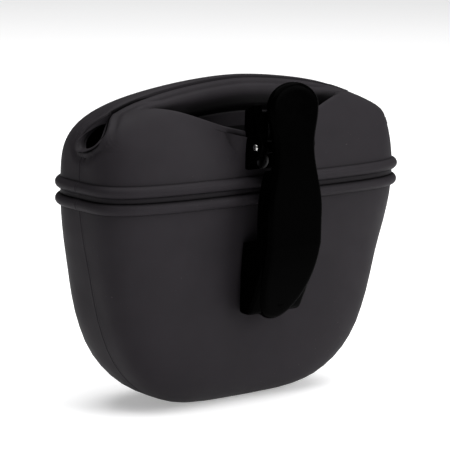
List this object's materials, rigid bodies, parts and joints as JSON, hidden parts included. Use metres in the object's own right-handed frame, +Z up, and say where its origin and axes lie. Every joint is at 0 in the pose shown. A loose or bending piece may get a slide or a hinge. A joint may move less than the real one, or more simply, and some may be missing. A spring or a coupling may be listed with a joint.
{
  "type": "treat pouch",
  "caption": "Silicone treat pouch with a magnetic slit mouth, two ribs round the belly and a sprung belt clip on one side.",
  "frame": {"origin": "centre of the pouch's footprint on the surface it stands on, in the plane of the mouth slit", "axes": "+Z up, +X along the pouch's width and the mouth slit, -Y towards the belt clip and the wearer"},
  "size_m": [0.1378, 0.0648, 0.117],
  "materials": {
    "silicone": "fine matte, charcoal black",
    "clip_plastic": "polished black",
    "pin_steel": "bright",
    "spring_steel": "drawn wire",
    "magnet_plating": "nickel plate"
  },
  "bodies": {
    "pouch": {"pouch_body": "silicone", "clip_bracket": "clip_plastic", "clip_spring": "spring_steel", "hinge_pin": "pin_steel", "backing_plate": "clip_plastic", "rivet_left": "pin_steel", "rivet_right": "pin_steel"},
    "front_mouth": {"front_lip": "silicone", "front_magnet_left": "magnet_plating", "front_magnet_right": "magnet_plating"},
    "rear_mouth": {"rear_lip": "silicone", "rear_magnet_left": "magnet_plating", "rear_magnet_right": "magnet_plating"},
    "lever": {"clip_lever": "clip_plastic"}
  },
  "joints": [
    {"name": "front_lip_open", "type": "hinge", "parent": "pouch", "child": "front_mouth", "pos_m": [0, 0.0244, 0.097], "axis": [-1, 0, 0], "range_deg": [0, 25], "stiffness_Nm_per_rad": 0.06},
    {"name": "rear_lip_open", "type": "hinge", "parent": "pouch", "child": "rear_mouth", "pos_m": [0, -0.0185, 0.097], "axis": [1, 0, 0], "range_deg": [0, 8], "stiffness_Nm_per_rad": 0.12},
    {"name": "clip_press", "type": "hinge", "parent": "pouch", "child": "lever", "pos_m": [0, -0.0266, 0.0944], "axis": [-1, 0, 0], "range_deg": [0, 12], "stiffness_Nm_per_rad": 0.9, "springref_deg": -20.05, "deforming": ["clip_spring"]}
  ]
}
